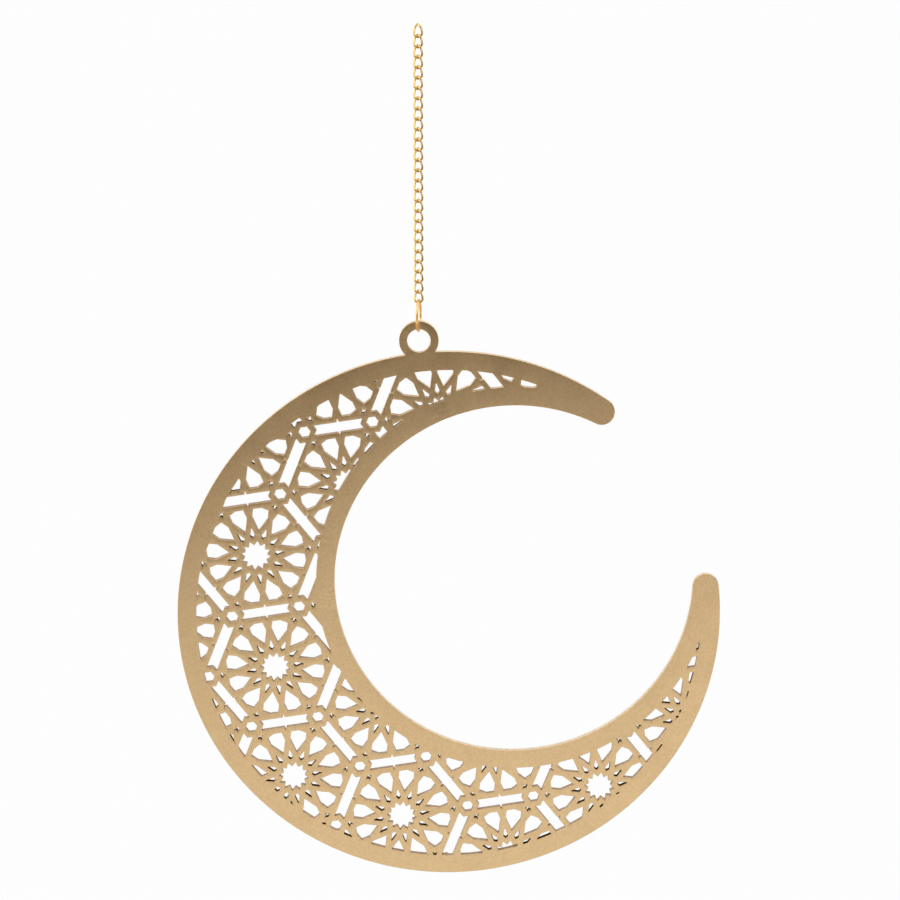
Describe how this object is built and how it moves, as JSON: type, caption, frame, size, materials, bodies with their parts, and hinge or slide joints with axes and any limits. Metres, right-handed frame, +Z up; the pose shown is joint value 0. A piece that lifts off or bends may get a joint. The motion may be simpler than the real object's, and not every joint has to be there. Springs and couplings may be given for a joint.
{
  "type": "hanging crescent ornament",
  "caption": "Flat crescent wall and window ornament with a pierced twelve-fold star lattice, hung by an eyelet from a jump ring and a curb chain.",
  "frame": {"origin": "the hanging point, on the inside of the top link's upper crown, where a hook bears", "axes": "+Z up along the chain, +X to the right as seen from the front, +Y to the back; the plate faces -Y"},
  "size_m": [0.2499, 0.015, 0.3966],
  "materials": {
    "painted_board": "fibreboard in metallic gold paint, edges browned by the laser",
    "ring_wire": "polished",
    "chain_wire": "polished"
  },
  "bodies": {
    "link_01": {"link_01": "chain_wire"},
    "link_02": {"link_02": "chain_wire"},
    "link_03": {"link_03": "chain_wire"},
    "link_04": {"link_04": "chain_wire"},
    "link_05": {"link_05": "chain_wire"},
    "link_06": {"link_06": "chain_wire"},
    "link_07": {"link_07": "chain_wire"},
    "link_08": {"link_08": "chain_wire"},
    "link_09": {"link_09": "chain_wire"},
    "link_10": {"link_10": "chain_wire"},
    "link_11": {"link_11": "chain_wire"},
    "link_12": {"link_12": "chain_wire"},
    "link_13": {"link_13": "chain_wire"},
    "link_14": {"link_14": "chain_wire"},
    "link_15": {"link_15": "chain_wire"},
    "link_16": {"link_16": "chain_wire"},
    "link_17": {"link_17": "chain_wire"},
    "link_18": {"link_18": "chain_wire"},
    "link_19": {"link_19": "chain_wire"},
    "link_20": {"link_20": "chain_wire"},
    "link_21": {"link_21": "chain_wire"},
    "link_22": {"link_22": "chain_wire"},
    "link_23": {"link_23": "chain_wire"},
    "link_24": {"link_24": "chain_wire"},
    "link_25": {"link_25": "chain_wire"},
    "link_26": {"link_26": "chain_wire"},
    "link_27": {"link_27": "chain_wire"},
    "jump_ring": {"jump_ring": "ring_wire"},
    "crescent": {"crescent": "painted_board"}
  },
  "joints": [
    {"name": "link_02_swing", "type": "hinge", "parent": "link_01", "child": "link_02", "pos_m": [0, 0, -0.00515], "axis": [0.9397, 0.342, 0], "range_deg": [-45, 45]},
    {"name": "link_03_swing", "type": "hinge", "parent": "link_02", "child": "link_03", "pos_m": [0, 0, -0.0086], "axis": [0.342, -0.9397, 0], "range_deg": [-45, 45]},
    {"name": "link_04_swing", "type": "hinge", "parent": "link_03", "child": "link_04", "pos_m": [0, 0, -0.01425], "axis": [-0.9397, -0.342, 0], "range_deg": [-45, 45]},
    {"name": "link_05_swing", "type": "hinge", "parent": "link_04", "child": "link_05", "pos_m": [0, 0, -0.0177], "axis": [-0.342, 0.9397, 0], "range_deg": [-45, 45]},
    {"name": "link_06_swing", "type": "hinge", "parent": "link_05", "child": "link_06", "pos_m": [0, 0, -0.02335], "axis": [0.9397, 0.342, 0], "range_deg": [-45, 45]},
    {"name": "link_07_swing", "type": "hinge", "parent": "link_06", "child": "link_07", "pos_m": [0, 0, -0.0268], "axis": [0.342, -0.9397, 0], "range_deg": [-45, 45]},
    {"name": "link_08_swing", "type": "hinge", "parent": "link_07", "child": "link_08", "pos_m": [0, 0, -0.03245], "axis": [-0.9397, -0.342, 0], "range_deg": [-45, 45]},
    {"name": "link_09_swing", "type": "hinge", "parent": "link_08", "child": "link_09", "pos_m": [0, 0, -0.0359], "axis": [-0.342, 0.9397, 0], "range_deg": [-45, 45]},
    {"name": "link_10_swing", "type": "hinge", "parent": "link_09", "child": "link_10", "pos_m": [0, 0, -0.04155], "axis": [0.9397, 0.342, 0], "range_deg": [-45, 45]},
    {"name": "link_11_swing", "type": "hinge", "parent": "link_10", "child": "link_11", "pos_m": [0, 0, -0.045], "axis": [0.342, -0.9397, 0], "range_deg": [-45, 45]},
    {"name": "link_12_swing", "type": "hinge", "parent": "link_11", "child": "link_12", "pos_m": [0, 0, -0.05065], "axis": [-0.9397, -0.342, 0], "range_deg": [-45, 45]},
    {"name": "link_13_swing", "type": "hinge", "parent": "link_12", "child": "link_13", "pos_m": [0, 0, -0.0541], "axis": [-0.342, 0.9397, 0], "range_deg": [-45, 45]},
    {"name": "link_14_swing", "type": "hinge", "parent": "link_13", "child": "link_14", "pos_m": [0, 0, -0.05975], "axis": [0.9397, 0.342, 0], "range_deg": [-45, 45]},
    {"name": "link_15_swing", "type": "hinge", "parent": "link_14", "child": "link_15", "pos_m": [0, 0, -0.0632], "axis": [0.342, -0.9397, 0], "range_deg": [-45, 45]},
    {"name": "link_16_swing", "type": "hinge", "parent": "link_15", "child": "link_16", "pos_m": [0, 0, -0.06885], "axis": [-0.9397, -0.342, 0], "range_deg": [-45, 45]},
    {"name": "link_17_swing", "type": "hinge", "parent": "link_16", "child": "link_17", "pos_m": [0, 0, -0.0723], "axis": [-0.342, 0.9397, 0], "range_deg": [-45, 45]},
    {"name": "link_18_swing", "type": "hinge", "parent": "link_17", "child": "link_18", "pos_m": [0, 0, -0.07795], "axis": [0.9397, 0.342, 0], "range_deg": [-45, 45]},
    {"name": "link_19_swing", "type": "hinge", "parent": "link_18", "child": "link_19", "pos_m": [0, 0, -0.0814], "axis": [0.342, -0.9397, 0], "range_deg": [-45, 45]},
    {"name": "link_20_swing", "type": "hinge", "parent": "link_19", "child": "link_20", "pos_m": [0, 0, -0.08705], "axis": [-0.9397, -0.342, 0], "range_deg": [-45, 45]},
    {"name": "link_21_swing", "type": "hinge", "parent": "link_20", "child": "link_21", "pos_m": [0, 0, -0.0905], "axis": [-0.342, 0.9397, 0], "range_deg": [-45, 45]},
    {"name": "link_22_swing", "type": "hinge", "parent": "link_21", "child": "link_22", "pos_m": [0, 0, -0.09615], "axis": [0.9397, 0.342, 0], "range_deg": [-45, 45]},
    {"name": "link_23_swing", "type": "hinge", "parent": "link_22", "child": "link_23", "pos_m": [0, 0, -0.0996], "axis": [0.342, -0.9397, 0], "range_deg": [-45, 45]},
    {"name": "link_24_swing", "type": "hinge", "parent": "link_23", "child": "link_24", "pos_m": [0, 0, -0.10525], "axis": [-0.9397, -0.342, 0], "range_deg": [-45, 45]},
    {"name": "link_25_swing", "type": "hinge", "parent": "link_24", "child": "link_25", "pos_m": [0, 0, -0.1087], "axis": [-0.342, 0.9397, 0], "range_deg": [-45, 45]},
    {"name": "link_26_swing", "type": "hinge", "parent": "link_25", "child": "link_26", "pos_m": [0, 0, -0.11435], "axis": [0.9397, 0.342, 0], "range_deg": [-45, 45]},
    {"name": "link_27_swing", "type": "hinge", "parent": "link_26", "child": "link_27", "pos_m": [0, 0, -0.1178], "axis": [0.342, -0.9397, 0], "range_deg": [-45, 45]},
    {"name": "ring_swing", "type": "hinge", "parent": "link_27", "child": "jump_ring", "pos_m": [0, 0, -0.12225], "axis": [0.1219, 0.9925, 0], "range_deg": [-45, 45]},
    {"name": "crescent_swing", "type": "hinge", "parent": "jump_ring", "child": "crescent", "pos_m": [0, 0, -0.13625], "axis": [-0.1219, -0.9925, 0], "range_deg": [-60, 60]}
  ]
}
